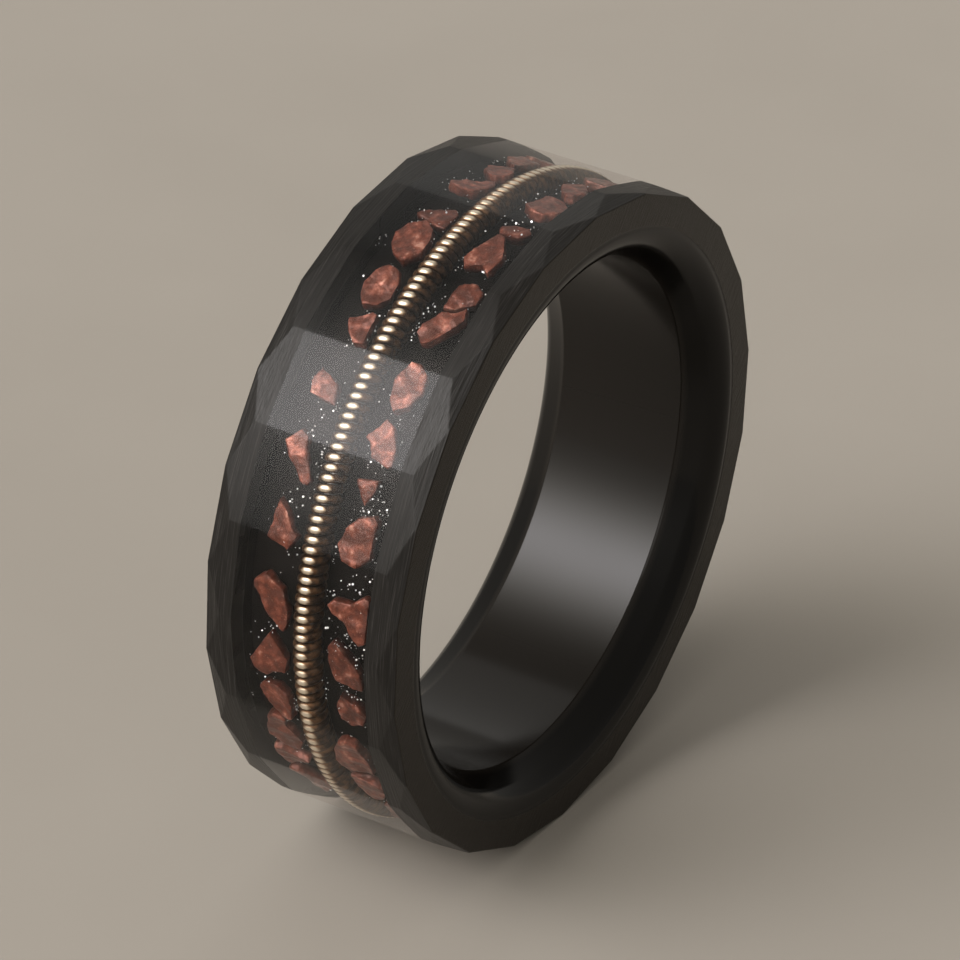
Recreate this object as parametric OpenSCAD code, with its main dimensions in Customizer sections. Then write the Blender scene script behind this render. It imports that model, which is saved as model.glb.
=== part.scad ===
// Hammered finger ring with a wound guitar string and copper chips set in clear resin.
// The finger bore runs along Y, and the ring stands on one flat of its rim, +Z up.
// The origin is the middle of the bore.

/* [Rim] */
// Size of the ring across two opposite flats
across_flats = 25.4; // [25:0.1:27]
// Number of hammered flats around the rim
flat_count = 22; // [20:2:26]
// Width of the ring along the finger
ring_w = 8; // [7.8:0.1:9]
// Length of the edge between two neighbouring flats
edge_len = 6.6; // [6.2:0.1:6.8]
// Tilt of the bevel facets that run from the flats to the side faces
bevel_tilt = 19; // [17:1:24]

/* [Bore] */
// Diameter of the finger bore at its straight land
bore_d = 19.8; // [19:0.1:20]
// How much wider the mouth is than the land, measured on the radius
mouth_rise = 1.4; // [1.2:0.1:1.6]
// Radius of the round mouth edge
mouth_round = 1.1; // [0.8:0.1:1.2]
// Slope of the flare between the land and the round mouth edge
flare_angle = 28; // [24:1:32]

/* [Inlay] */
// Width of the inlay channel
inlay_w = 5.6; // [5.5:0.1:5.9]
// Thickness of the black resin bed on the channel floor
bed_t = 0.15; // [0.1:0.05:0.2]
// Clear resin over the string in the middle of a flat
string_cover = 0.1; // [0.08:0.01:0.15]

/* [Guitar string] */
// Outside diameter of the wound string
string_d = 1.1; // [1:0.05:1.1]
// Diameter of the bronze wrap wire
wrap_d = 0.35; // [0.25:0.01:0.35]
// Number of wrap turns around the ring
wrap_turns = 206; // [180:1:206]

/* [Copper chips] */
// Thickness of a chip
chip_t = 0.4; // [0.3:0.05:0.4]
// Depth of a chip's middle below the flats
chip_depth = 0.55; // [0.5:0.01:0.6]
// Extra depth of the chips that lie low in the resin
low_extra = 0.2; // [0:0.05:0.25]
// Largest lean of a chip out of the layer
lean = 5; // [0:1:6]

/* [Glitter] */
// Number of glitter flakes over each row of chips
flake_count = 44; // [20:1:60]
// Size of a flake across its corners
flake_d = 0.12; // [0.08:0.01:0.16]

/* [Hidden] */
$fn = 96;
half_w = ring_w / 2;
flat_step = 360 / flat_count;
flat_r = across_flats / 2;
corner_r = flat_r / cos(flat_step / 2);
top_angle = 90;
first_edge = top_angle + flat_step / 2;

bore_r = bore_d / 2;
mouth_r = bore_r + mouth_rise;
round_y = half_w - mouth_round;
flare_end_r = mouth_r - mouth_round * cos(flare_angle);
flare_end_y = round_y + mouth_round * sin(flare_angle);
land_y = flare_end_y - (flare_end_r - bore_r) / tan(flare_angle);

string_r = flat_r - string_cover - string_d / 2;
first_turn = 0.4;
tunnel_gap = 0.01;
bed_gap = 0.05;
bed_r = string_r - string_d / 2 - bed_gap;
floor_r = bed_r - bed_t;
turn_r = (string_d - wrap_d) / 2;
core_gap = 0.01;
core_r = turn_r - wrap_d / 2 - core_gap;

cut_size = 14;
overlap = 1;

flake_t = 0.03;
flake_depth = 0.13;
flake_sides = 6;
flake_across_min = 0.8;
flake_across_max = 2.5;
flake_seed = 11;
flake_tilt = 8;

// A chip is [angle around the ring, distance from the middle plane, low in the resin, outline].
// An outline's points are [across the band, along the rim] from the chip's own middle.
BACK_CHIPS = [
    [80.3, 1.2, 0, [[0.75, -0.3], [0.35, -0.6], [-0.2, -0.65], [-0.5, -0.05], [-0.45, 0.4],
        [-0.15, 0.7], [0.25, 0.55], [0.65, 0.15]]],
    [88.6, 1.35, 0, [[0.8, 0.3], [0.25, -0.25], [-0.15, -0.6], [-0.45, -0.75], [-0.65, -0.45],
        [-0.65, 0], [-0.35, 0.55], [0.15, 0.75], [0.65, 0.55]]],
    [99.3, 1.35, 1, [[0.8, 0.25], [0.2, -0.3], [-0.3, -0.65], [-0.6, -0.4], [-0.65, 0.6],
        [-0.3, 0.65], [0.2, 0.4]]],
    [107.4, 1.35, 0, [[0.75, -0.1], [0.55, -0.6], [0, -1], [-0.5, -0.7], [-0.7, -0.1],
        [-0.65, 0.55], [-0.2, 1.1], [0.3, 0.85], [0.65, 0.4]]],
    [118.3, 1.3, 0, [[0.7, 0.05], [0.55, -0.5], [0.15, -0.85], [-0.35, -0.75], [-0.6, -0.3],
        [-0.6, 0.4], [-0.25, 0.8], [0.25, 0.95], [0.55, 0.6]]],
    [126.8, 1.25, 0, [[-0.25, -0.7], [-0.5, -0.6], [-0.55, 0.6], [-0.15, 0.7], [0.25, 0.25],
        [0.5, -0.2]]],
    [138.3, 1.35, 0, [[0.5, -0.7], [0.1, -0.5], [-0.4, -0.2], [-0.65, 0.55], [-0.1, 0.45],
        [0.55, 0.4], [0.65, -0.05]]],
    [150.3, 1.4, 0, [[0.75, -0.4], [0.25, -0.95], [-0.1, -0.75], [-0.2, -0.2], [-0.5, 0.35],
        [-0.7, 0.7], [-0.55, 0.95], [-0.25, 0.9], [0.15, 0.4], [0.5, -0.05]]],
    [162, 1.35, 0, [[0.35, -0.95], [-0.1, -0.5], [-0.4, 0.05], [-0.65, 0.25], [-0.3, 0.9],
        [0.1, 0.75], [0.6, 0.6], [0.5, -0.2]]],
    [175.5, 1.45, 0, [[0.25, -1], [0.7, -0.65], [0.75, -0.35], [0.45, 0.1], [0.05, 0.65],
        [-0.55, 1.15], [-0.7, 0.8], [-0.7, 0.2], [-0.45, -0.55], [-0.05, -0.75]]],
    [186.5, 1.5, 0, [[0, -0.95], [-0.45, -0.4], [-0.75, 0], [-0.65, 0.55], [-0.2, 0.6],
        [0.1, 0.85], [0.6, 0.65], [0.8, 0.35], [0.5, -0.2]]],
    [196, 1.45, 0, [[0.7, -0.25], [0.4, -0.7], [-0.2, -0.7], [-0.6, -0.45], [-0.75, 0.1],
        [-0.7, 0.7], [-0.4, 0.75], [0.1, 0.45], [0.6, 0.05]]],
    [204.5, 1.45, 0, [[0.15, -1.1], [-0.25, -0.9], [-0.2, -0.4], [-0.55, 0.1], [-0.7, 0.45],
        [-0.45, 0.95], [-0.15, 1.05], [0.35, 0.8], [0.75, 0.4], [0.65, -0.2], [0.45, -0.85]]]
];
FRONT_CHIPS = [
    [78, -1.65, 0, [[0.65, -0.6], [0.25, -1], [-0.25, -0.45], [-0.65, 0.45], [-0.45, 0.95],
        [-0.15, 1], [0.25, 0.65], [0.55, 0]]],
    [88.3, -1.8, 0, [[0.6, -0.8], [-0.3, -0.8], [-0.7, -0.2], [-0.6, 0.5], [-0.2, 0.85],
        [0.3, 0.8], [0.75, 0.45], [0.6, -0.2]]],
    [97.2, -1.6, 1, [[0.6, 0.05], [0.2, -0.3], [-0.4, -0.4], [-0.6, -0.05], [-0.3, 0.3],
        [0.4, 0.4]]],
    [105.5, -1.5, 0, [[0.15, -1], [-0.2, -0.95], [-0.55, -0.35], [-0.7, 0.1], [-0.55, 0.95],
        [-0.1, 0.6], [0.5, 0.85], [0.7, 0.45], [0.5, -0.2]]],
    [115.3, -1.8, 1, [[0.55, -0.45], [0.55, 0.65], [0.1, 0.6], [-0.2, 0.35], [-0.5, 0.15],
        [-0.5, -0.4], [-0.1, -0.75]]],
    [122, -1.65, 0, [[-0.55, -1], [-0.75, -0.45], [-0.45, 0.1], [0, 0.8], [0.35, 0.95],
        [0.75, 0.55], [0.65, 0.2], [0.25, -0.5], [-0.25, -0.65]]],
    [134.2, -1.6, 0, [[0.3, -0.95], [-0.1, -1], [-0.5, -0.7], [-0.7, -0.05], [-0.4, 0.7],
        [0.1, 1], [0.4, 0.6], [0.65, -0.15]]],
    [143.9, -1.55, 0, [[0.2, -0.85], [-0.15, -0.65], [-0.55, 0], [-0.6, 0.7], [-0.45, 0.85],
        [0.25, 0.65], [0.4, 0.15], [0.7, 0]]],
    [151.8, -1.45, 1, [[0.5, -0.2], [-0.35, -0.4], [-0.3, 0.05], [-0.05, 0.65], [0.15, 0.4]]],
    [160.4, -1.6, 0, [[-0.5, -1.05], [-0.7, -0.85], [-0.65, 0.55], [-0.2, 0.95], [0.4, 0.9],
        [0.75, 0.35], [0.5, -0.3], [0.1, -0.8]]],
    [174, -1.7, 0, [[0.85, -0.25], [0.6, -0.5], [-0.1, -0.55], [-0.55, -0.95], [-0.8, -0.85],
        [-0.8, 0.75], [-0.6, 0.95], [-0.3, 0.8], [0.1, 0.2], [0.6, 0.1]]],
    [184, -1.55, 1, [[0.45, -0.95], [0.05, -0.55], [-0.65, 0.1], [-0.8, 0.75], [-0.35, 0.9],
        [0.35, 0.7], [0.65, 0], [0.65, -0.65]]],
    [193.7, -1.7, 1, [[0.4, -0.7], [-0.3, -0.4], [-0.7, -0.05], [-0.5, 0.45], [0, 0.7],
        [0.4, 0.4], [0.6, -0.15]]],
    [205, -1.5, 0, [[0.05, -1.2], [-0.35, -0.95], [-0.65, -0.1], [-0.65, 0.8], [-0.15, 0.85],
        [0.45, 1.2], [0.8, 0.35], [0.75, -0.35], [0.35, -0.9]]],
    [215.3, -1.7, 0, [[0.7, -0.8], [-0.6, -0.8], [-0.7, -0.4], [-0.4, 0.4], [-0.1, 0.7],
        [0.6, 0.6]]],
    [223.9, -2.05, 0, [[0.4, -0.55], [-0.3, -0.7], [-0.5, -0.3], [-0.1, 0.6], [0.3, 0.5]]]
];

// The rest of each row repeats the outlines above, turned half round, at an even pitch.
row_chips = 36;
row_middle = 1.6;
outline_stride = 5;
BACK_ROW = filled_row(BACK_CHIPS, row_middle, 213.4, 431.5);
FRONT_ROW = filled_row(FRONT_CHIPS, -row_middle, 233.5, 427.5);

chips_per_node = 2;
node_count = row_chips / chips_per_node;

function chip_node(row, i) = str("copper_chips_", row, "_", i < 10 ? "0" : "", i);

function half_turned(outline) = [for (p = outline) [-p[0], -p[1]]];

function filled_row(chips, middle, first, last) =
    let (shown = len(chips), extra = row_chips - shown)
    concat(chips, [
        for (i = [0:extra - 1])
            let (source = chips[(i * outline_stride + 2) % shown])
            [first + i * (last - first) / (extra - 1), middle, i % 3 == 2 ? 1 : 0,
                half_turned(source[3])]
    ]);

// Turns a shape built around Z so that it lies around the ring's Y axis
module around_bore() {
    rotate([-90, 0, 0]) children();
}

// Puts a shape at an angle around the ring: X out, Y along the bore, Z along the rim
module at_angle(angle) {
    rotate([0, -angle, 0]) children();
}

module flats_prism(w) {
    around_bore()
        linear_extrude(w, center = true)
            polygon([for (k = [0:flat_count - 1])
                corner_r * [cos(first_edge + k * flat_step), sin(first_edge + k * flat_step)]]);
}

module disc(r, w) {
    around_bore() cylinder(r = r, h = w, center = true);
}

module hoop(r, wire_r) {
    around_bore() rotate_extrude() translate([r, 0]) circle(wire_r);
}

module finger_bore() {
    around_bore() rotate_extrude() difference() {
        polygon([
            [0, -half_w - overlap], [mouth_r, -half_w - overlap], [mouth_r, -round_y],
            [flare_end_r, -flare_end_y], [bore_r, -land_y],
            [bore_r, land_y], [flare_end_r, flare_end_y],
            [mouth_r, round_y], [mouth_r, half_w + overlap], [0, half_w + overlap]
        ]);
        for (side = [-1, 1]) translate([mouth_r, side * round_y]) circle(mouth_round);
    }
}

module bevel_cuts() {
    for (k = [0:flat_count - 1], side = [-1, 1])
        at_angle(first_edge + k * flat_step)
            translate([corner_r, side * edge_len / 2, 0])
                rotate([0, 0, side * bevel_tilt])
                    translate([cut_size / 2, 0, 0]) cube(cut_size, center = true);
}

module inlay_channel() {
    difference() {
        disc(corner_r + overlap, inlay_w);
        disc(floor_r, inlay_w + overlap);
    }
}

module band() {
    color("#1c1b1b") difference() {
        flats_prism(ring_w);
        bevel_cuts();
        finger_bore();
        inlay_channel();
    }
}

module resin_bed() {
    color("#0c0b0b") difference() {
        disc(bed_r, inlay_w);
        disc(floor_r, inlay_w + overlap);
    }
}

module string_core() {
    color("#a9a9a4") hoop(string_r, core_r);
}

module string_wrap() {
    color("#b99a66")
        for (i = [0:wrap_turns - 1])
            at_angle(first_turn + i * 360 / wrap_turns)
                translate([string_r, 0, 0])
                    rotate_extrude() translate([turn_r, 0]) circle(wrap_d / 2, $fn = 32);
}

// lean_a and lean_b tip the chip out of the layer along and across the rim
module chip(angle, across, low, outline, lean_a, lean_b) {
    at_angle(angle)
        translate([flat_r - chip_depth - low * low_extra, across, 0])
            rotate([0, lean_a, lean_b]) rotate([90, 0, 90])
                linear_extrude(chip_t, center = true) polygon(outline);
}

module row_chip(row, i) {
    high = 1 - row[i][2];
    chip(row[i][0], row[i][1], row[i][2], row[i][3],
        high * lean * sin(i * 77), high * lean * cos(i * 131));
}

module chip_group(row, group) {
    color("#b8654b")
        for (i = [(group - 1) * chips_per_node : group * chips_per_node - 1]) row_chip(row, i);
}

module glitter_flakes() {
    places = rands(0, 1, 3 * flake_count, flake_seed);
    color("#e9e0d2")
        for (side = [-1, 1], i = [0:flake_count - 1])
            at_angle((i + 0.8 * places[i] + (side > 0 ? 0.5 : 0)) * 360 / flake_count)
                translate([flat_r - flake_depth,
                    side * (flake_across_min
                        + (flake_across_max - flake_across_min) * places[flake_count + i]), 0])
                    rotate([0, 90 + flake_tilt * (places[2 * flake_count + i] - 0.5), 0])
                        cylinder(d = flake_d, h = flake_t, center = true, $fn = flake_sides);
}

module clear_resin() {
    color([0.25, 0.22, 0.2, 0.35]) difference() {
        flats_prism(inlay_w);
        disc(bed_r, inlay_w + overlap);
        hoop(string_r, string_d / 2 + tunnel_gap);
        for (i = [0:row_chips - 1]) {
            row_chip(BACK_ROW, i);
            row_chip(FRONT_ROW, i);
        }
        glitter_flakes();
    }
}

band();
resin_bed();
string_core();
string_wrap();
for (i = [1:node_count]) {
    chip_group(BACK_ROW, i);
    chip_group(FRONT_ROW, i);
}
glitter_flakes();
clear_resin();
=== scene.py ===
"""A hammered black finger ring with a wound guitar string and copper chips set in clear resin.

The band, the resin and the string are made in millimetres around Z, and then scaled to metres and laid
around the bore's Y axis. The chips and the glitter are made in millimetres where they lie.
"""

import math
import random

import bpy
from mathutils import Euler, Matrix, Vector


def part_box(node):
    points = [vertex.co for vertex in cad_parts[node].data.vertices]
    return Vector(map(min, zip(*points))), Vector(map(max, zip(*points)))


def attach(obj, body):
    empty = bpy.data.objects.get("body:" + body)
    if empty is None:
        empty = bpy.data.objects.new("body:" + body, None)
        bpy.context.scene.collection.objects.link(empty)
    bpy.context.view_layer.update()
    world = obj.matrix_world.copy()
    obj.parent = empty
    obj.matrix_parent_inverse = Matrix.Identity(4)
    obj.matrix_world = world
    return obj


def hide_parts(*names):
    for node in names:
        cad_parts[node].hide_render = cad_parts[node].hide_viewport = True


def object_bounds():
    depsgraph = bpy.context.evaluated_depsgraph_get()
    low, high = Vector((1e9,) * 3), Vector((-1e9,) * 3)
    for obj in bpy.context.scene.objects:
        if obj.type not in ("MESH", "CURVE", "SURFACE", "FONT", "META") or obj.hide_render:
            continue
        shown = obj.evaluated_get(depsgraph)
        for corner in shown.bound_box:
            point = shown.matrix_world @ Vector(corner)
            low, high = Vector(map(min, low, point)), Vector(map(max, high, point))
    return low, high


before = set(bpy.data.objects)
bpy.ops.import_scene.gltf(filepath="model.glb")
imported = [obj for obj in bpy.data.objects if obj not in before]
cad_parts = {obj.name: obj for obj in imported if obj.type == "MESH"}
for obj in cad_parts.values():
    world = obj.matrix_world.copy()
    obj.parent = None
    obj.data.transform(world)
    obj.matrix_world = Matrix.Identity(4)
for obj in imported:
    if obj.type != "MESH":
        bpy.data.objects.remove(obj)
cad_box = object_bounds()

MM = 0.001
FLATS = 22
STEP = math.tau / FLATS


def reach(node, axis):
    """How far a CAD node reaches from the bore's middle along an axis, in millimetres."""
    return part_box(node)[1][axis] / MM


HALF_WIDTH = reach("band", 1)
FLAT_R = reach("band", 2)
CORNER_R = FLAT_R / math.cos(STEP / 2)
BULGE = 0.3
RIM_R = CORNER_R + BULGE * (FLAT_R - CORNER_R)
FLAT_STRIPS = 8
EDGE_LENGTH = 6.6
BEVEL_TILT = math.radians(19)
EDGE_ROUND = 0.045
SHARP = math.radians(9)
ROUND_SIDES = 240

BORE_R = 9.9
LAND_HALF = 2.61
MOUTH_R = 11.3
MOUTH_ROUND = 1.1
MOUTH_MIDDLE = HALF_WIDTH - MOUTH_ROUND
MOUTH_STEPS = 24
FLARE_TURN = math.radians(62)

INLAY_HALF = reach("clear_resin", 1)
BED_R = reach("resin_bed", 0)
BED_DEPTH = 0.15
FLOOR_R = BED_R - BED_DEPTH
RESIN_GAP = 0.01
STRING_R = reach("string_wrap", 0) - reach("string_wrap", 1)
STRING_HALF = reach("string_wrap", 1)
WIRE_R = 0.175
WIRE_SIDES = 10
TURNS = 206
STEPS_PER_TURN = 18

CHIP_GRAIN = 0.05
GLITTER_CLUSTERS = 480
GLITTER_R = 11.85
GLITTER_DEPTH = 0.45
GLITTER_INNER = 0.72
GLITTER_OUTER = 2.65


# Camera


def set_camera():
    """A long lens that looks down at the ring from the front left."""
    distance = 200.26 * MM
    turn = math.radians(-59.744)
    rise = math.radians(29.913)
    roll = math.radians(2.648)
    back = Vector((math.sin(turn) * math.cos(rise), -math.cos(turn) * math.cos(rise), math.sin(rise)))
    right = (-back).cross(Vector((0, 0, 1))).normalized()
    up = right.cross(-back)
    side = right * math.cos(roll) + up * math.sin(roll)
    top = up * math.cos(roll) - right * math.sin(roll)
    data = bpy.data.cameras.new("camera")
    data.lens = 202.82
    data.sensor_width = 36
    data.shift_x = -0.00687
    data.shift_y = 0.0145
    data.clip_start = 0.01
    data.clip_end = 20
    camera = bpy.data.objects.new("camera", data)
    bpy.context.collection.objects.link(camera)
    axes = Matrix((side, top, back)).transposed().to_4x4()
    camera.matrix_world = Matrix.Translation(back * distance) @ axes
    bpy.context.scene.camera = camera


# Finishes


class Number:
    """A number in a node tree. Arithmetic with it adds Math nodes."""

    def __init__(self, nodes, socket):
        self.nodes = nodes
        self.socket = socket

    def worked(self, operation, *values):
        inputs = dict(enumerate(values))
        made = self.nodes.node("ShaderNodeMath", {"operation": operation}, inputs)
        return Number(self.nodes, made.outputs[0])

    def __add__(self, other):
        return self.worked("ADD", self, other)

    def __radd__(self, other):
        return self.worked("ADD", other, self)

    def __sub__(self, other):
        return self.worked("SUBTRACT", self, other)

    def __rsub__(self, other):
        return self.worked("SUBTRACT", other, self)

    def __mul__(self, other):
        return self.worked("MULTIPLY", self, other)

    def __rmul__(self, other):
        return self.worked("MULTIPLY", other, self)

    def __pow__(self, other):
        return self.worked("POWER", self, other)

    def __abs__(self):
        return self.worked("ABSOLUTE", self)


class Nodes:
    """The node tree of a material or of the sky, in the making."""

    def __init__(self, owner, end):
        owner.use_nodes = True
        self.owner = owner
        self.tree = owner.node_tree
        self.tree.nodes.clear()
        self.end = self.node(end)

    def put(self, socket, value):
        if isinstance(value, Number):
            value = value.socket
        if isinstance(value, bpy.types.NodeSocket):
            self.tree.links.new(value, socket)
        elif isinstance(value, tuple) and len(value) == 3 and len(socket.default_value) == 4:
            socket.default_value = (*value, 1)
        else:
            socket.default_value = value

    def node(self, kind, settings=None, sockets=None):
        made = self.tree.nodes.new(kind)
        for name, value in (settings or {}).items():
            if name == "stops":
                self.set_stops(made.color_ramp, value)
            else:
                setattr(made, name, value)
        for name, value in (sockets or {}).items():
            self.put(made.inputs[name], value)
        return made

    def set_stops(self, ramp, stops):
        while len(ramp.elements) < len(stops):
            ramp.elements.new(1)
        for element, (place, colour) in zip(ramp.elements, stops):
            element.position = place
            element.color = (*colour, 1)

    def place(self, stretch=(1, 1, 1), turn=(0, 0, 0)):
        """The place on the piece in millimetres, turned and then stretched for a pattern."""
        coordinates = self.node("ShaderNodeTexCoord").outputs["Object"]
        turned = self.node(
            "ShaderNodeMapping",
            {"vector_type": "POINT"},
            {"Vector": coordinates, "Rotation": Euler(turn), "Scale": Vector((1 / MM, 1 / MM, 1 / MM))},
        )
        if stretch == (1, 1, 1):
            return turned.outputs[0]
        stretched = self.node(
            "ShaderNodeMapping",
            {"vector_type": "POINT"},
            {"Vector": turned.outputs[0], "Scale": Vector(stretch)},
        )
        return stretched.outputs[0]

    def axes(self):
        split = self.node("ShaderNodeSeparateXYZ", None, {0: self.place()})
        return [Number(self, socket) for socket in split.outputs]

    def noise(self, place, scale, detail=3, roughness=0.55):
        made = self.node(
            "ShaderNodeTexNoise",
            None,
            {"Vector": place, "Scale": scale, "Detail": detail, "Roughness": roughness},
        )
        return Number(self, made.outputs[0])

    def cells(self, place, scale):
        made = self.node("ShaderNodeTexVoronoi", None, {"Vector": place, "Scale": scale})
        return Number(self, made.outputs[0])

    def ease(self, value, low, high):
        """Goes smoothly from 0 to 1 as value goes from low to high."""
        made = self.node(
            "ShaderNodeMapRange",
            {"interpolation_type": "SMOOTHSTEP"},
            {0: value, 1: low, 2: high},
        )
        return Number(self, made.outputs[0])

    def ramp(self, value, stops):
        return self.node("ShaderNodeValToRGB", {"stops": stops}, {0: value}).outputs[0]

    def mixed(self, share, first, second, way="MIX"):
        settings = {"data_type": "RGBA", "blend_type": way, "clamp_factor": True}
        return self.node("ShaderNodeMix", settings, {0: share, 6: first, 7: second}).outputs[2]

    def bump(self, height, strength, distance, normal=None):
        sockets = {"Height": height, "Strength": strength, "Distance": distance * MM}
        if normal is not None:
            sockets["Normal"] = normal
        return self.node("ShaderNodeBump", None, sockets).outputs[0]

    def surface(self, shader):
        self.put(self.end.inputs["Surface"], shader)
        return self.owner


class Finish(Nodes):
    """A material, with patterns laid out in millimetres on the ring."""

    def __init__(self, name):
        super().__init__(bpy.data.materials.new(name), "ShaderNodeOutputMaterial")

    def ring_place(self):
        """How far a point is from the bore's axis, and its place along the bore."""
        x, y, z = self.axes()
        return (x * x + z * z) ** 0.5, y


class Sky(Nodes):
    """The light all around the ring."""

    def __init__(self, name):
        super().__init__(bpy.data.worlds.new(name), "ShaderNodeOutputWorld")

    def toward(self, direction):
        """The cosine of the angle from a direction, and 0 behind it."""
        sight = self.node("ShaderNodeTexCoord").outputs["Generated"]
        facing = Vector(direction).normalized()
        dot = self.node("ShaderNodeVectorMath", {"operation": "DOT_PRODUCT"}, {0: sight, 1: facing})
        cosine = Number(self, dot.outputs["Value"])
        return cosine.worked("MAXIMUM", cosine, 0)


def black_carbide():
    """Black coated metal: rim brushed around, side faces brushed across, bore polished, with the flares
    painted near black as shade.
    """
    finish = Finish("black_carbide")
    radius, along = finish.ring_place()
    rim = finish.ease(radius, 11.9, 12.1)
    side = finish.ease(abs(along), 3.975, 3.99) * finish.ease(radius, 11.35, 11.45)
    bore = 1 - finish.ease(radius, 11.2, 11.35)

    around = finish.noise(finish.place((0.35, 14, 0.35)), 1.0, 4, 0.6)
    fine_around = finish.noise(finish.place((0.5, 26, 0.5)), 1.0, 3, 0.6)
    across = finish.noise(finish.place((0.5, 1, 16), (0, math.radians(52), 0)), 1.0, 4, 0.6)
    cloud = finish.noise(finish.place(), 0.45, 3)
    brushing = around * rim * (1 - side) + across * side + 0.5 * bore
    fine = fine_around * rim * (1 - side) + 0.5 * bore
    streaks = finish.ease(fine_around, 0.5, 0.75) * rim * (1 - side)

    metal = finish.mixed(brushing, (0.005, 0.0045, 0.004), (0.013, 0.0118, 0.0105))
    face = finish.mixed(across, (0.008, 0.0062, 0.0045), (0.02, 0.0158, 0.0112))
    # Painted shade: the flares and mouths of the bore are painted near black, darker than the land.
    mouth = finish.mixed(cloud, (0.0015, 0.0013, 0.0011), (0.003, 0.0025, 0.002))
    polished = finish.mixed(finish.ease(radius, 9.93, 10.05), (0.009, 0.0075, 0.006), mouth)
    blackened = finish.mixed(bore, finish.mixed(side, metal, face), polished)
    colour = finish.mixed(streaks, blackened, (0.035, 0.032, 0.03))
    roughness = 0.21 + 0.14 * brushing + 0.05 * cloud - 0.15 * bore + 0.15 * streaks
    bump = finish.bump(brushing, 0.7, 0.03)
    bump = finish.bump(fine, 0.4, 0.01, bump)
    shader = finish.node(
        "ShaderNodeBsdfPrincipled",
        None,
        {"Base Color": colour, "Roughness": roughness, "Normal": bump, "IOR": 1.32},
    )
    return finish.surface(shader.outputs[0])


def clear_resin():
    """Clear resin, ground flush and polished, which shows what is set in it."""
    finish = Finish("clear_resin")
    haze = finish.noise(finish.place((0.8, 0.8, 0.8)), 0.6, 3)
    scratches = finish.noise(finish.place((0.5, 22, 0.5)), 1.0, 3)
    bump = finish.bump(scratches, 0.08, 0.01)
    gloss = finish.node(
        "ShaderNodeBsdfGlossy",
        {"distribution": "GGX"},
        {"Color": (1, 1, 1), "Roughness": 0.22 + 0.06 * haze, "Normal": bump},
    )
    clear = finish.node("ShaderNodeBsdfTransparent", None, {"Color": (0.93, 0.91, 0.9)})
    mirrored = Number(finish, finish.node("ShaderNodeFresnel", None, {"IOR": 1.325}).outputs[0])
    inside = Number(finish, finish.node("ShaderNodeNewGeometry").outputs["Backfacing"])
    mix = finish.node(
        "ShaderNodeMixShader",
        None,
        {0: mirrored * (1 - inside), 1: clear.outputs[0], 2: gloss.outputs[0]},
    )
    return finish.surface(mix.outputs[0])


def black_resin():
    """The cast black bed under the inlay, with a faint mottle."""
    finish = Finish("black_resin")
    mottle = finish.noise(finish.place(), 3, 3)
    colour = finish.mixed(mottle, (0.0035, 0.0032, 0.003), (0.012, 0.0105, 0.0095))
    shader = finish.node(
        "ShaderNodeBsdfPrincipled",
        None,
        {
            "Base Color": colour,
            "Roughness": 0.45 + 0.2 * mottle,
            "Specular IOR Level": 0.08,
            "Normal": finish.bump(mottle, 0.2, 0.05),
        },
    )
    return finish.surface(shader.outputs[0])


def wrap_bronze():
    """Bronze wrap wire, painted pale on the crown of each turn as a highlight and painted dark brown down
    its sides as shade.
    """
    finish = Finish("wrap_bronze")
    radius, along = finish.ring_place()
    # Painted light: by distance from the string's middle, each turn's crown is painted pale as a highlight,
    # and its sides down to the grooves are painted dark brown as shade.
    painted_crown_highlight = finish.ease(radius - STRING_R, 0.42, 0.535)
    stain = finish.noise(finish.place(), 3.5, 4)
    drawn = finish.noise(finish.place((6, 1, 6)), 3, 3)
    painted_shade_to_highlight = finish.ramp(
        painted_crown_highlight,
        [
            (0, (0.028, 0.014, 0.007)),
            (0.35, (0.08, 0.042, 0.021)),
            (0.72, (0.55, 0.44, 0.31)),
            (1, (0.95, 0.87, 0.72)),
        ],
    )
    colour = finish.mixed(finish.ease(stain, 0.4, 0.65) * (1 - painted_crown_highlight), painted_shade_to_highlight, (0.15, 0.08, 0.038))
    shader = finish.node(
        "ShaderNodeBsdfPrincipled",
        None,
        {
            "Base Color": colour,
            "Metallic": 1.0,
            "Roughness": 0.55 - 0.25 * painted_crown_highlight + 0.1 * stain,
            "Normal": finish.bump(drawn, 0.12, 0.01),
        },
    )
    return finish.surface(shader.outputs[0])


def core_steel():
    """Plain drawn steel wire under the wrap."""
    finish = Finish("core_steel")
    drawn = finish.noise(finish.place((1, 12, 1)), 4, 3)
    colour = finish.mixed(drawn, (0.42, 0.41, 0.4), (0.6, 0.59, 0.57))
    shader = finish.node(
        "ShaderNodeBsdfPrincipled",
        None,
        {"Base Color": colour, "Metallic": 1.0, "Roughness": 0.3 + 0.15 * drawn},
    )
    return finish.surface(shader.outputs[0])


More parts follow.
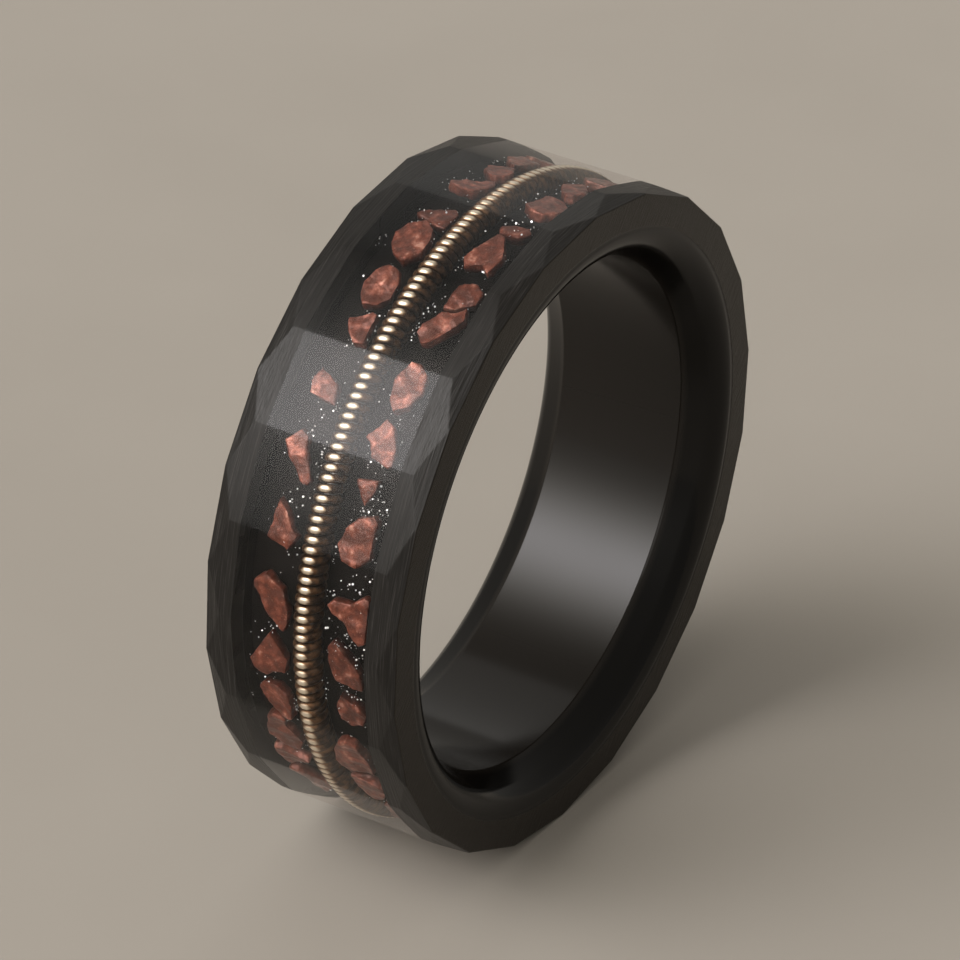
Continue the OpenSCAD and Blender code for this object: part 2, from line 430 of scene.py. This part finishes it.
def copper_chip():
    """Torn copper foil: red-brown hollows, pale worn high spots and a grainy surface, painted darker as
    shade the deeper a chip lies.
    """
    finish = Finish("copper_chip")
    radius, along = finish.ring_place()
    height = finish.ease(radius, 11.9, 12.3)
    grain = finish.noise(finish.place(), 2.6, 4, 0.55)
    torn = finish.cells(finish.place(), 1.6)
    speckle = finish.noise(finish.place(), 12, 2, 0.6)
    worn = finish.ease(grain + 0.3 * torn, 0.5, 0.95)
    red = finish.ramp(
        worn,
        [
            (0, (0.09, 0.022, 0.011)),
            (0.4, (0.16, 0.04, 0.021)),
            (0.75, (0.26, 0.08, 0.048)),
            (1, (0.52, 0.26, 0.19)),
        ],
    )
    pale = finish.mixed(finish.ease(speckle, 0.62, 0.72) * 0.35, red, (0.6, 0.36, 0.27))
    # Painted shade: chips lying lower in the channel are painted darker, down to about a tenth at the bed.
    painted_depth_shade = finish.mixed(height, (0.12, 0.07, 0.055), (1, 1, 1))
    colour = finish.mixed(1.0, pale, painted_depth_shade, "MULTIPLY")
    bump = finish.bump(grain, 0.5, 0.1)
    bump = finish.bump(speckle, 0.2, 0.02, bump)
    shader = finish.node(
        "ShaderNodeBsdfPrincipled",
        None,
        {"Base Color": colour, "Metallic": 0.35, "Roughness": 0.4 - 0.12 * worn, "Normal": bump},
    )
    return finish.surface(shader.outputs[0])


def glitter():
    """Silver-white flakes."""
    finish = Finish("glitter")
    tone = finish.noise(finish.place(), 1.5, 2)
    colour = finish.mixed(tone, (0.95, 0.9, 0.84), (0.75, 0.85, 0.95))
    shader = finish.node(
        "ShaderNodeBsdfPrincipled",
        None,
        {"Base Color": colour, "Metallic": 0.4, "Roughness": 0.25 + 0.1 * tone},
    )
    return finish.surface(shader.outputs[0])


def studio_sky():
    """Dim light all round, and the soft glow of a large window up on the left."""
    sky = Sky("studio_sky")
    window = sky.toward((-0.64, 0.416, 0.643)) ** 16
    wall = sky.toward((-0.82, 0.42, 0.4)) ** 3
    strength = 0.28 + 9.5 * window + 0.5 * wall
    colour = sky.mixed(window, (1, 0.95, 0.87), (1, 0.96, 0.955))
    background = sky.node("ShaderNodeBackground", None, {"Color": colour, "Strength": strength})
    return sky.surface(background.outputs[0])


def studio_floor():
    """Plain pale board, with a faint mottle."""
    finish = Finish("studio_floor")
    mottle = finish.noise(finish.place(), 0.05, 3)
    colour = finish.mixed(mottle, (0.31, 0.285, 0.25), (0.36, 0.333, 0.295))
    shader = finish.node("ShaderNodeBsdfPrincipled", None, {"Base Color": colour, "Roughness": 0.75})
    return finish.surface(shader.outputs[0])


# Handling pieces


def select_only(piece):
    bpy.ops.object.select_all(action="DESELECT")
    piece.select_set(True)
    bpy.context.view_layer.objects.active = piece


def added(name):
    """Names the piece that was just added."""
    piece = bpy.context.object
    piece.name = name
    piece.data.name = name
    return piece


def apply_place(piece):
    select_only(piece)
    bpy.ops.object.transform_apply(location=True, rotation=True, scale=True)


def work(piece, kind, **settings):
    """Adds a modifier to a piece and applies it."""
    select_only(piece)
    modifier = piece.modifiers.new(kind, kind)
    for name, value in settings.items():
        setattr(modifier, name, value)
    bpy.ops.object.modifier_apply(modifier=modifier.name)


def pick(piece, kind, chosen):
    """Selects the faces or edges of a piece that chosen() says yes to, and opens edit mode."""
    select_only(piece)
    bpy.context.tool_settings.mesh_select_mode = (False, kind == "edges", kind == "polygons")
    mesh = piece.data
    for parts in (mesh.vertices, mesh.edges, mesh.polygons):
        parts.foreach_set("select", [False] * len(parts))
    for part in getattr(mesh, kind):
        part.select = chosen(part)
    bpy.ops.object.mode_set(mode="EDIT")


def cut(piece, tool, operation="DIFFERENCE"):
    """Takes a tool's shape out of a piece, or keeps only what lies inside it."""
    work(piece, "BOOLEAN", operation=operation, solver="EXACT", object=tool)
    bpy.data.objects.remove(tool)


def tidy_mesh(piece, gap):
    """Merges points closer than gap, and turns the faces outwards."""
    select_only(piece)
    bpy.ops.object.mode_set(mode="EDIT")
    bpy.ops.mesh.select_all(action="SELECT")
    bpy.ops.mesh.remove_doubles(threshold=gap)
    bpy.ops.mesh.normals_make_consistent(inside=False)
    bpy.ops.object.mode_set(mode="OBJECT")


def smooth(piece, angle):
    select_only(piece)
    bpy.ops.object.shade_smooth_by_angle(angle=math.radians(angle))


def lay_around_bore(piece):
    """Turns a piece made around Z in millimetres to the bore's Y axis, in metres."""
    piece.rotation_euler = (math.pi / 2, STEP / 2, 0)
    piece.scale = (MM, MM, MM)
    apply_place(piece)


def finish_piece(piece, material, node):
    """Gives a piece its material and slot, and puts it in the place of a CAD node."""
    piece.data.materials.clear()
    piece.data.materials.append(material)
    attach(piece, "root")
    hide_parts(node)


# The band and the resin


def hammered_drum(name, half_width):
    """A solid drum around Z with the rim's flats, each bulging a little."""
    bpy.ops.mesh.primitive_cylinder_add(vertices=FLATS, radius=CORNER_R, depth=2 * half_width)
    drum = added(name)
    points = drum.data.vertices
    pick(drum, "edges", lambda edge: points[edge.vertices[0]].co.z * points[edge.vertices[1]].co.z > 0)
    bpy.ops.mesh.subdivide(number_cuts=FLAT_STRIPS - 1)
    bpy.ops.object.mode_set(mode="OBJECT")
    work(drum, "CAST", cast_type="CYLINDER", factor=BULGE, use_radius_as_size=False, size=FLAT_R)
    return drum


def round_edges(piece):
    """Gives the sharp edges a small round."""
    work(piece, "BEVEL", width=EDGE_ROUND, segments=3, limit_method="ANGLE", angle_limit=SHARP)


def bevel_facets(drum):
    """Cuts the tilted facets that run from the flats to the side faces."""
    select_only(drum)
    bpy.ops.object.mode_set(mode="EDIT")
    for flat in range(FLATS):
        angle = math.pi / 2 + flat * STEP
        out = Vector((math.cos(angle), math.sin(angle), 0))
        for side in (-1, 1):
            up = Vector((0, 0, side))
            bpy.ops.mesh.select_all(action="SELECT")
            bpy.ops.mesh.bisect(
                plane_co=out * RIM_R + up * EDGE_LENGTH / 2,
                plane_no=out * math.cos(BEVEL_TILT) + up * math.sin(BEVEL_TILT),
                use_fill=True,
                clear_outer=True,
                threshold=0.0005,
            )
    bpy.ops.object.mode_set(mode="OBJECT")


def bore_plug():
    """The shape of the finger bore around Z: a straight land, flares and rounded mouths."""
    mouth = []
    for i in range(MOUTH_STEPS + 1):
        turn = FLARE_TURN * (1 - i / MOUTH_STEPS)
        mouth.append((MOUTH_R - MOUTH_ROUND * math.sin(turn), MOUTH_MIDDLE + MOUTH_ROUND * math.cos(turn)))
    mouth.append((MOUTH_R, HALF_WIDTH + 1))
    bpy.ops.mesh.primitive_cylinder_add(vertices=ROUND_SIDES, radius=BORE_R, depth=2 * LAND_HALF)
    plug = added("bore_plug")
    for side in (-1, 1):
        pick(plug, "polygons", lambda face: face.center.z * side > LAND_HALF - 0.01)
        radius = BORE_R
        height = LAND_HALF
        for next_radius, next_height in mouth:
            move = {"value": (0, 0, side * (next_height - height)), "orient_type": "GLOBAL"}
            bpy.ops.mesh.extrude_region_move(TRANSFORM_OT_translate=move)
            grow = next_radius / radius
            bpy.ops.transform.resize(value=(grow, grow, 1), center_override=(0, 0, 0))
            radius = next_radius
            height = next_height
        bpy.ops.object.mode_set(mode="OBJECT")
    return plug


def hoop(name, inner, outer, half_width):
    """A plain hoop around Z."""
    bpy.ops.mesh.primitive_cylinder_add(
        vertices=ROUND_SIDES, radius=inner, depth=2 * half_width, end_fill_type="NOTHING"
    )
    made = added(name)
    work(made, "SOLIDIFY", thickness=outer - inner, offset=1, use_even_offset=True)
    tidy_mesh(made, 0.0001)
    return made


def make_band(material):
    band = hammered_drum("hammered_band", HALF_WIDTH)
    bevel_facets(band)
    cut(band, bore_plug())
    round_edges(band)
    cut(band, hoop("channel_tool", FLOOR_R, CORNER_R + 1, INLAY_HALF))
    tidy_mesh(band, 0.0005)
    smooth(band, 3)
    lay_around_bore(band)
    finish_piece(band, material, "band")


def make_resin(material):
    resin = hammered_drum("polished_resin", HALF_WIDTH)
    round_edges(resin)
    bpy.ops.mesh.primitive_cylinder_add(vertices=4, radius=CORNER_R * 2, depth=2 * INLAY_HALF)
    cut(resin, added("width_tool"), "INTERSECT")
    bpy.ops.mesh.primitive_cylinder_add(vertices=ROUND_SIDES, radius=BED_R + RESIN_GAP, depth=2 * HALF_WIDTH)
    cut(resin, added("bed_tool"))
    tidy_mesh(resin, 0.0005)
    smooth(resin, 3)
    lay_around_bore(resin)
    finish_piece(resin, material, "clear_resin")


# The string


def make_wrap(material):
    """Winds the wrap wire straight along X, and then bends it round the ring."""
    length = math.tau * STRING_R
    bpy.ops.mesh.primitive_circle_add(
        vertices=WIRE_SIDES,
        radius=WIRE_R,
        location=(0, 0, STRING_HALF - WIRE_R),
        rotation=(math.pi / 2, 0, 0),
    )
    wrap = added("string_winding")
    apply_place(wrap)
    work(
        wrap,
        "SCREW",
        axis="X",
        screw_offset=length / TURNS,
        iterations=TURNS,
        steps=STEPS_PER_TURN,
        render_steps=STEPS_PER_TURN,
    )
    bpy.ops.curve.primitive_nurbs_circle_add(radius=STRING_R)
    route = bpy.context.object
    route.data.resolution_u = 96
    work(wrap, "CURVE", object=route, deform_axis="POS_X")
    bpy.data.objects.remove(route)
    tidy_mesh(wrap, 0.002)
    smooth(wrap, 60)
    lay_around_bore(wrap)
    finish_piece(wrap, material, "string_wrap")


# The chips and the glitter


def dents(name, kind, size):
    """A pattern of dents of a size in millimetres."""
    texture = bpy.data.textures.new(name, kind)
    texture.noise_scale = size
    return texture


def dent(piece, texture, strength):
    work(piece, "DISPLACE", texture=texture, strength=strength, mid_level=0.5, texture_coords="LOCAL")


def chip_nodes():
    return sorted(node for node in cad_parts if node.startswith("copper_chips"))


def make_chips(material):
    """Tears and dents a fine copy of each pair of plain CAD chips."""
    torn = dents("torn", "VORONOI", 0.9)
    grain = dents("grain", "CLOUDS", 0.35)
    for node in chip_nodes():
        name = node.replace("copper_chips", "torn_copper")
        chips = bpy.data.objects.new(name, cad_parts[node].data.copy())
        bpy.context.collection.objects.link(chips)
        chips.scale = (1 / MM, 1 / MM, 1 / MM)
        apply_place(chips)
        tidy_mesh(chips, 0.002)
        work(chips, "REMESH", mode="VOXEL", voxel_size=CHIP_GRAIN)
        dent(chips, torn, 0.16)
        dent(chips, grain, 0.08)
        work(chips, "SMOOTH", factor=0.5, iterations=1)
        smooth(chips, 40)
        chips.scale = (MM, MM, MM)
        apply_place(chips)
        finish_piece(chips, material, node)


def lay_flake(flake, spot, size, facing):
    """Puts down a copy of the flake at a spot, turned and sized."""
    copy = flake.copy()
    copy.data = flake.data.copy()
    bpy.context.collection.objects.link(copy)
    copy.matrix_world = Matrix.Translation(spot) @ facing.to_4x4() @ Matrix.Scale(size, 4)
    return copy


def make_glitter(material):
    """Scatters small flakes in clusters round the chips."""
    chance = random.Random(7)
    bpy.ops.mesh.primitive_cylinder_add(vertices=6, radius=0.5, depth=0.12)
    flake = added("flake")
    flakes = []
    nodes = chip_nodes()
    for cluster in range(GLITTER_CLUSTERS):
        low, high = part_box(chance.choice(nodes))
        middle = Vector([low[k] + chance.random() * (high[k] - low[k]) for k in range(3)]) / MM
        row = 1 if middle.y > 0 else -1
        around = math.atan2(middle.z, middle.x) + chance.gauss(0, 0.05)
        across = abs(middle.y) + chance.gauss(0, 0.35)
        for i in range(chance.randint(1, 9)):
            size = 0.035 + 0.055 * chance.random() ** 2
            angle = around + chance.gauss(0, 0.022)
            radius = GLITTER_R + GLITTER_DEPTH * chance.random()
            away = row * min(max(across + chance.gauss(0, 0.22), GLITTER_INNER), GLITTER_OUTER)
            tilt = Euler((chance.gauss(0, 0.5), chance.gauss(0, 0.5), chance.uniform(0, 3))).to_matrix()
            facing = Matrix.Rotation(math.pi / 2 - angle, 3, "Y") @ tilt
            spot = (radius * math.cos(angle), away, radius * math.sin(angle))
            flakes.append(lay_flake(flake, spot, size, facing))
    bpy.data.objects.remove(flake)
    select_only(flakes[0])
    for copy in flakes:
        copy.select_set(True)
    bpy.ops.object.join()
    piece = added("glitter_scatter")
    apply_place(piece)
    piece.scale = (MM, MM, MM)
    apply_place(piece)
    finish_piece(piece, material, "glitter_flakes")


def dress(node, material):
    """Gives a CAD node that stays as it is a better material."""
    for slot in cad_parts[node].material_slots:
        slot.material = material


# The studio


def make_floor(material):
    level = cad_box[0][2]
    bpy.ops.mesh.primitive_grid_add(x_subdivisions=8, y_subdivisions=8, size=2, location=(0, 0, level))
    floor = added("floor")
    apply_place(floor)
    floor.data.materials.append(material)


def panel(name, direction, distance, size, power, colour):
    """A soft panel of light that faces the ring."""
    data = bpy.data.lights.new(name, "AREA")
    data.shape = "RECTANGLE"
    data.size = size[0]
    data.size_y = size[1]
    data.energy = power
    data.color = colour
    light = bpy.data.objects.new(name, data)
    bpy.context.collection.objects.link(light)
    out = Vector(direction).normalized()
    light.location = out * distance
    across = (Vector((0, 1, 0)) - out * out.y).normalized()
    light.rotation_euler = Matrix((across, out.cross(across), out)).transposed().to_euler()
    light.visible_camera = False


def light_studio():
    bpy.context.scene.world = studio_sky()
    bpy.context.scene.view_settings.view_transform = "Standard"
    panel("side_panel", (-0.82, -0.3, 0.47), 0.4, (0.16, 0.2), 0.22, (1, 0.95, 0.9))
    panel("back_panel", (0.6, 0.42, 0.68), 0.4, (0.3, 0.3), 0.14, (1, 0.98, 0.94))


set_camera()
make_floor(studio_floor())
light_studio()
make_band(black_carbide())
make_resin(clear_resin())
make_wrap(wrap_bronze())
make_chips(copper_chip())
make_glitter(glitter())
dress("resin_bed", black_resin())
dress("string_core", core_steel())
